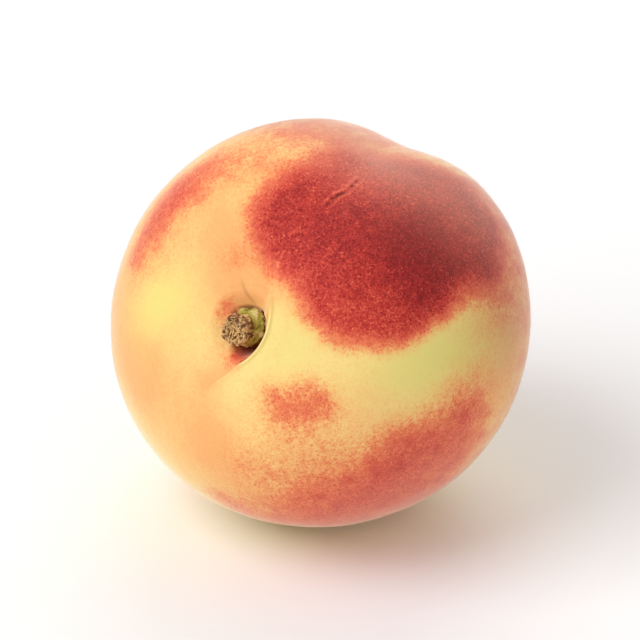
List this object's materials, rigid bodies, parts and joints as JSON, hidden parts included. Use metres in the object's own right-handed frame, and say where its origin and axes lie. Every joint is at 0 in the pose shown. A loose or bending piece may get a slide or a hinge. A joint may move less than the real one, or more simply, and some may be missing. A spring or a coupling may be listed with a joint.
{
  "type": "peach",
  "caption": "Ripe velvety peach with a suture groove and a woody stem stub in its cavity, lying on its cheek on a small flat spot.",
  "frame": {"origin": "on the surface that the fruit rests on, below the middle of its box", "axes": "-Z out of the flat that it rests on; the stem end looks towards -Y, turned 29 degrees to -X and raised 25 degrees; the suture runs over the top towards +X"},
  "size_m": [0.0758, 0.0728, 0.0731],
  "materials": {
    "peach_skin": "yellow skin with crimson blush, covered with fine pale fuzz",
    "stem_wood": "green-brown ridged bark with a torn, fibrous, tan end"
  },
  "bodies": {
    "root": {"fruit": "peach_skin", "stem": "stem_wood"}
  },
  "joints": []
}
